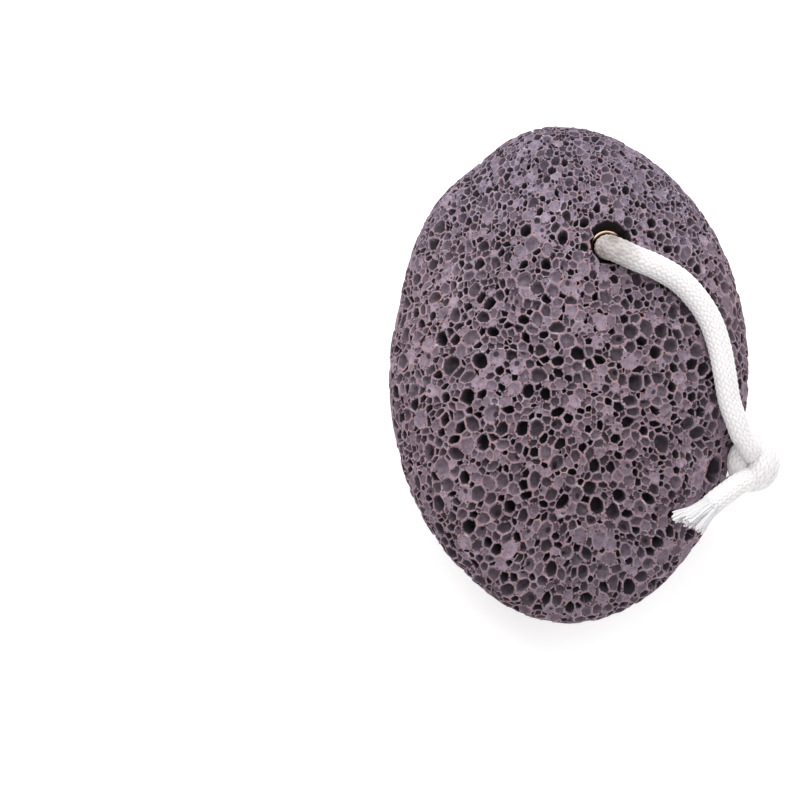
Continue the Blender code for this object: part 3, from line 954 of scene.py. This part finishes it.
sunk = rng.random(len(corners)) ** 3 * CREST_WEAR * MM
wall_depth = np.minimum(depth[owner], depth[before])
may_break = (owner >= MOUTHS) & (before >= MOUTHS)
broken = np.flatnonzero((rng.random(len(owner)) < BROKEN) & may_break)
for end in (corner[broken], corner[following[broken]]):
    sunk[end] = np.maximum(sunk[end], BREAK_SHARE * np.minimum(wall_depth[broken], BREAK_DEPTH))
print("broken walls:", len(broken))

# %% [markdown]
# ## Ovals
# An opening that ran straight from corner to corner would be a polygon, and gas makes round holes. Each
# opening is the oval that the spread of its corners gives, by its longest and shortest direction, and
# its rim keeps inside both the oval and the crests.

# %% Ovals
OBLIQUE = (0.31, 0.52, 0.80)  # direction that openings are turned from, along none of the stone's axes
SLIMMEST = 4  # an oval's length over its width, at most
ROUNDING = 5  # the higher, the closer a rim follows the crests into their corners
WALL = 0.08 * MM  # from a crest to the rim beside it
RIM_LEAST = 0.3  # share of the way to a crest that a rim keeps

normal = outward(centre)
across = unit(np.cross(normal, OBLIQUE))
ahead = np.cross(normal, across)
u = np.sum(arm * across[owner], axis=1)
v = np.sum(arm * ahead[owner], axis=1)
uu, vv, uv = (mean_of(k) for k in (u * u, v * v, u * v))
turn = np.arctan2(2 * uv, uu - vv)[:, None] / 2
uneven = np.hypot(uu - vv, 2 * uv)
long_way = np.cos(turn) * across + np.sin(turn) * ahead
short_way = np.cross(normal, long_way)
half_long = np.sqrt(uu + vv + uneven)
half_short = np.maximum(np.sqrt(np.maximum(uu + vv - uneven, 0)), half_long / SLIMMEST)


def in_oval(offset):
    """Offsets from a bubble's centre as shares of its half axes."""
    longways = np.sum(offset * long_way[owner], axis=1) / half_long[owner]
    shortways = np.sum(offset * short_way[owner], axis=1) / half_short[owner]
    return np.stack([longways, shortways, 0 * longways], axis=1)


limit = reach / np.linalg.norm(in_oval(arm), axis=1)
rounded = (reach**-ROUNDING + limit**-ROUNDING) ** (-1 / ROUNDING) - WALL
rim = on_skin(centre[owner] + arm * (np.maximum(rounded, RIM_LEAST * reach) / reach)[:, None])
print("length over width of the ovals:", (half_long / half_short).mean().round(2))

# %% [markdown]
# ## Walls and floors
# Every bubble is a crest shared with its neighbours, a rim just inside it, a ring lower down its wall and
# a floor. Each of them is a place on the skin, sunk square to it by its own depth.

# %% Rings
RIM_DROP = 0.07 * MM
RIM_SHARE = 0.9  # of a bubble's depth, at most, above which its rim stays
LEAST_WALL = 0.02 * MM

low = on_skin(centre[owner] + (rim - centre[owner]) * low_width[owner, None])
rim_depth = np.minimum(sunk[corner] + RIM_DROP, RIM_SHARE * depth[owner])
low_depth = np.maximum(depth[owner] * low_share[owner], rim_depth + LEAST_WALL)
crest_points = corners - outward(corners) * sunk[:, None]
rim_points = rim - outward(rim) * rim_depth[:, None]
low_points = low - outward(low) * low_depth[:, None]
floor_points = centre - outward(centre) * depth[:, None]
print("depth mm:", (np.percentile(depth, [5, 50, 95]) / MM).round(2))

# %% [markdown]
# ## Mouths
# The hole was drilled, so it is round below, but its edge has crumbled. At each mouth the rim is ragged
# and the ring below it lies on the bore, which stays open there.

# %% Mouths
BORE = 3.42 * MM
MOUTH_LIMIT = 5.4 * MM  # how far out the ragged edge may reach
MOUTH_DEPTH = 1.7 * MM
EDGE_INSIDE = (0.15, 0.5)  # how far inside the crests the edge lies, in millimetres
EDGE_DROP = (0.1, 0.6)

mouth = owner < MOUTHS
side = np.where(owner[mouth] == 0, 1.0, -1.0)
away = corners[corner[mouth], :2] - HOLE
spoke = unit(away)
edge = np.clip(np.hypot(*away.T) - rng.uniform(*EDGE_INSIDE, len(away)) * MM, BORE, MOUTH_LIMIT)
edge_drop = rng.uniform(*EDGE_DROP, len(away)) * MM
for ring, radius, drop in ((rim_points, edge, edge_drop), (low_points, BORE, MOUTH_DEPTH)):
    place = HOLE + np.broadcast_to(radius, edge.shape)[:, None] * spoke
    ring[mouth] = np.where(side[:, None] > 0, on_skin_at(*place.T, 1), on_skin_at(*place.T, -1))
    ring[mouth, 2] -= side * drop
print("mouth radius mm:", (edge.min() / MM).round(2), "to", (edge.max() / MM).round(2))

# %% [markdown]
# ## The bubbly stone
# The rings are joined by walls of quads and floors of triangles into one closed surface. The material
# needs to know more than a shape can tell it, so each point also carries how near it is to a crest, its
# bubble's tone, how much painted shade its bubble gets and where in its oval the point lies.

# %% Stone mesh
RIM_VALUE, CREST_TONE = 0.6, 0.5
SHADE_FROM = 0.35  # depth over width where a bubble starts to get painted shade
# Painted shade in the mouths of the hole, strong enough to reach the darkest colour.
MOUTH_SHADE = 2
MOUTH_ARM = 0.6  # a mouth's rim counts as this near to its middle


def close_bore(mesh):
    """Join the two open rings by the wall of the bore, and drop points that nothing uses."""
    shell = bmesh.new()
    shell.from_mesh(mesh)
    bmesh.ops.delete(shell, geom=[v for v in shell.verts if not v.link_faces], context="VERTS")
    rings = [e for e in shell.edges if e.is_boundary]
    bmesh.ops.bridge_loops(shell, edges=rings)
    bmesh.ops.recalc_face_normals(shell, faces=shell.faces)
    shell.to_mesh(mesh)
    shell.free()
    return len(rings)


tone = rng.random(count)
# Painted shade: deeper bubbles, every pit and the mouths of the hole get darker colour in their depths.
painted_shade = np.clip(depth / width - SHADE_FROM, 0, 1)
painted_shade[kind == PIT] = 1
painted_shade[:MOUTHS] = MOUTH_SHADE
corner_shade = np.bincount(corner, painted_shade[owner]) / 3
rim_arm = in_oval(rim - centre[owner]) * np.where(mouth, MOUTH_ARM, 1.0)[:, None]
here = np.arange(len(owner))
first_rim = len(corners)
first_low = first_rim + len(owner)
first_floor = first_low + len(owner)
walls = [
    np.stack([corner, corner[following], first_rim + following, first_rim + here], axis=1),
    np.stack([first_rim + here, first_rim + following, first_low + following, first_low + here], axis=1),
]
fans = np.stack([first_low + here, first_low + following, first_floor + owner], axis=1)[~mouth]
placed = np.vstack([crest_points, rim_points, low_points, floor_points]) + MIDDLE
placed[placed[:, 2] < REST_BAND, 2] = 0

# Four values for each point, in the order crests, rims, lower rings, floors.
flat = np.zeros(len(owner) + count)
stone_values = {
    "rim": np.concatenate([np.ones(len(corners)), np.full(len(owner), RIM_VALUE), flat]),
    "tone": np.concatenate([np.full(len(corners), CREST_TONE), tone[owner], tone[owner], tone]),
    "painted_shade": np.concatenate([corner_shade, painted_shade[owner], painted_shade[owner], painted_shade]),
    "arm": np.vstack([0 * corners, rim_arm, rim_arm * low_width[owner, None], 0 * centre]),
}
stone_mesh = mesh_from("bubbly_stone", placed, [np.vstack(walls), fans])
for value_name, value in stone_values.items():
    add_values(stone_mesh, value_name, value)
print("edges of the bore's rings:", close_bore(stone_mesh))

# %% [markdown]
# ## Pumice
# The glass is grey with a violet cast. Broken crests are thin enough to let light through, and iron makes
# them tan and pink. The dishes are matte, and the depths of deep bubbles and of the hole are painted dark
# as shade. Far smaller bubbles in the walls show as rust-dark pinholes, their shade painted on. Those are
# too many to model, so they and the dirt are noise in the material, laid over one another a colour at a
# time.

# %% Pumice finish
DARK_BUBBLE, PALE_BUBBLE = srgb(107, 91, 103), srgb(186, 164, 182)
COOL_SHADE = (0.85, 0.93, 1.01, 1)  # painted shade: tint that makes the narrow end darker and bluer
# The spot where a bubble below has burst through a floor is painted dark as shade.
TONE_TURNS = 61  # turns the burst spot's direction with the bubble's tone
BURST_OUT = 0.34  # how far from the middle of a bubble it lies
BURST_PICK = 17  # tones are dealt out this many times over, to pick the bubbles that have one


def pumice():
    """Violet-grey glass, tan crests, and depths and pinholes painted dark as shade.

    Each layer lays one more colour over the shade so far. Its amount is a product of what the points
    carry and of noise.
    """
    kit = Kit("pumice", 0.85)
    rim, tone, painted_shade = (kit.attribute(name) for name in ("rim", "tone", "painted_shade"))
    arm = kit.value("ShaderNodeAttribute", {"attribute_name": "arm"}, output="Vector")
    out = kit.value("ShaderNodeVectorMath", {"operation": "LENGTH"}, [arm], "Value")
    crest = rim.over(0.76, 1.0)
    inside = (1 - out.over(0.76, 0.88)) * (1 - rim.over(0.50, 0.60))
    worn = kit.noise(520, 3).over(0.42, 0.68)

    # A round spot in some bubbles, where one below has burst through their floor, painted dark as shade.
    turned = tone * TONE_TURNS
    spot = [turned.math("SINE") * BURST_OUT, turned.math("COSINE") * BURST_OUT, 0.0]
    spot = kit.value("ShaderNodeCombineXYZ", None, spot)
    apart = kit.value("ShaderNodeVectorMath", {"operation": "DISTANCE"}, [arm, spot], "Value")
    burst = (1 - apart.over(0.24, 0.34)) * (tone * BURST_PICK).math("FRACT").over(0.76, 0.78) * inside

    shade = kit.mix(tone, DARK_BUBBLE, PALE_BUBBLE)
    layers = [
        (kit.noise(55, 3).over(0.35, 0.65) * 0.3, srgb(116, 98, 104)),  # broad patches
        (kit.noise(900, 2).over(0.38, 0.68) * 0.42, srgb(84, 72, 82)),  # dirt
        (kit.noise(650, 3).over(0.52, 0.72) * 0.45, srgb(190, 174, 188)),  # painted sheen: lighter patches
        ((1 - inside) * 0.25, srgb(158, 138, 148)),  # worn land between the bubbles
        (kit.noise(5200, 1).over(0.3, 0.7) * 0.28, srgb(82, 66, 72)),  # grain
        (crest * (0.08 + worn * 0.62), srgb(210, 154, 141)),  # tan crests
        (crest * kit.noise(380, 2).over(0.62, 0.70) * 0.5, srgb(236, 226, 230)),  # glints on them
        (painted_shade.math("MINIMUM", 1.0) * inside * 0.95, srgb(36, 31, 36)),  # painted shade in deep bubbles
        (painted_shade.over(1.2, 1.8) * 0.8, srgb(16, 12, 13)),  # painted shade, darkest, in the hole
        (burst * 0.85, srgb(46, 38, 44)),  # painted shade where floors have burst
    ]
    for amount, colour in layers:
        shade = kit.mix(amount, shade, colour)
    # Painted shade: the colour is multiplied darker and bluer towards the narrow end and in broad patches.
    lengthways = kit.value("ShaderNodeSeparateXYZ", None, [kit.place()], "Y")
    cool_shade = lengthways.over(0.0, 45 * MM) * 0.5 + kit.noise(22, 2).over(0.35, 0.65) * 0.4
    shade = kit.mix(cool_shade, shade, COOL_SHADE, "MULTIPLY")

    # Pinholes, their shade painted rust-dark, and bright specks in the cells of a fine Voronoi pattern,
    # picked by the cell's own colour.
    cells = kit.node("ShaderNodeTexVoronoi", None, {"Vector": kit.place(), "Scale": 1700.0})
    distance = Value(kit, cells.outputs["Distance"])
    pick = kit.value("ShaderNodeSeparateColor", None, {"Color": Value(kit, cells.outputs["Color"])})
    pin = (1 - distance.over(0.30, 0.46)) * pick.over(0.40, 0.42) * (1 - inside * 0.85)
    shade = kit.mix(pin * 0.85, shade, srgb(50, 24, 26))
    speck = pick.over(0.010, 0.0) * (1 - distance.over(0.16, 0.3)) * (1 - inside)
    shade = kit.mix(speck * 0.8, shade, srgb(236, 228, 230))

    bowl = inside * (1 - out * out)
    height = kit.noise(2600, 3) * 0.3 + kit.noise(700, 2) * 0.3 - pin * 0.6
    height = height - inside * (painted_shade * 1.5 + 0.4) - bowl * 1.6 - burst
    return kit.feed(Base_Color=shade, Specular_IOR_Level=0.2, Normal=kit.bump(height, 0.5, 0.15 * MM))


stone = add_piece("bubbly_stone", stone_mesh, pumice())
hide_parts("stone")
print("stone triangles:", sum(len(p.vertices) - 2 for p in stone_mesh.polygons))

# %% [markdown]
# ## The sleeve
# A thin tube of brass keeps the cord from sawing through the stone. Two circles and a modifier would do
# for its wall, but its lips are rounded, so its whole section is turned about the axis of the hole. The
# metal has gone dark brown where the cord leaves damp behind, and one arc of the lip is painted bright as
# a highlight and made smoother there.

# %% Sleeve
SLEEVE_MIDDLE = 3.0 * MM  # radius of the middle of its wall
SLEEVE_HALF_WALL = 0.25 * MM
SLEEVE_ENDS = (10.57 * MM, 41.41 * MM)
SLEEVE_SIDES = 96
LIP_STEPS = 9
BRIGHT_SIDE = 103  # compass angle of the arc with the painted highlight
BRIGHT_FROM, BRIGHT_TO = 36.5 * MM, 39.5 * MM  # height where it fades in
# The second colour is a painted highlight on one arc of the lip.
TARNISH, PAINTED_HIGHLIGHT = srgb(52, 38, 26), srgb(214, 188, 158)


def sleeve_mesh():
    """The sleeve: a long narrow loop of wall and two round lips, turned about the axis of the hole."""
    lip = np.linspace(0, np.pi, LIP_STEPS)
    reach = SLEEVE_HALF_WALL * np.cos(lip)
    swell = SLEEVE_HALF_WALL * (np.sin(lip) - 1)
    radius = SLEEVE_MIDDLE + np.concatenate([reach, -reach])
    height = np.concatenate([SLEEVE_ENDS[1] + swell, SLEEVE_ENDS[0] - swell])
    angle = np.linspace(0, 2 * np.pi, SLEEVE_SIDES, endpoint=False)[:, None]
    x, y = HOLE[0] + radius * np.cos(angle), HOLE[1] + radius * np.sin(angle)
    points = np.stack([x, y, height + 0 * angle], axis=2)
    turn, step = np.meshgrid(np.arange(SLEEVE_SIDES), np.arange(len(radius)), indexing="ij")
    here = turn * len(radius) + step
    above = turn * len(radius) + (step + 1) % len(radius)
    there = (turn + 1) % SLEEVE_SIDES * len(radius)
    quads = np.stack([here, there + step, there + (step + 1) % len(radius), above], axis=-1)
    return mesh_from("brass_sleeve", points.reshape(-1, 3), [quads.reshape(-1, 4)])


def brass():
    """Brown tarnish with one arc painted bright as a highlight."""
    kit = Kit("brass", 0.38, 1.0)
    place = kit.node("ShaderNodeSeparateXYZ", None, [kit.place()])
    across = (Value(kit, place.outputs["X"]) - HOLE[0]) / SLEEVE_MIDDLE
    along = (Value(kit, place.outputs["Y"]) - HOLE[1]) / SLEEVE_MIDDLE
    bright = compass(BRIGHT_SIDE, 0)
    facing = across * bright[0] + along * bright[1]
    highlight_arc = facing.over(0.55, 0.85) * Value(kit, place.outputs["Z"]).over(BRIGHT_FROM, BRIGHT_TO)
    stain = kit.noise(900, 4).over(0.3, 0.7)
    shade = kit.mix(highlight_arc * (0.75 + stain * 0.25), TARNISH, PAINTED_HIGHLIGHT)
    rough = 0.55 - highlight_arc * 0.2 + stain * 0.1
    return kit.feed(Base_Color=shade, Roughness=rough, Normal=kit.bump(stain, 0.2, 0.03 * MM))


sleeve = add_piece("brass_sleeve", sleeve_mesh(), brass(), sharp=50)
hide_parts("hole_sleeve")
print("sleeve faces:", len(sleeve.data.polygons))

# %% [markdown]
# ## The table
# The stone is shown on a lit white table. A plain white plane would show a dark shadow, so it glows a
# little of its own, as a light table does, which thins the shadow.

# %% Table
TABLE_GLOW = 0.42
TABLE_SIZE = 6  # metres


def add_floor():
    """White table that gives a little light of its own."""
    kit = Kit("white_table", 0.6)
    kit.feed(Base_Color=(0.97, 0.97, 0.97, 1), Emission_Color=(1, 1, 1, 1), Emission_Strength=TABLE_GLOW)
    bpy.ops.mesh.primitive_plane_add(size=TABLE_SIZE)
    floor = bpy.context.object
    floor.name = "table"
    floor.data.materials.append(kit.material)
    return floor


print("table across, in metres:", add_floor().dimensions[0])
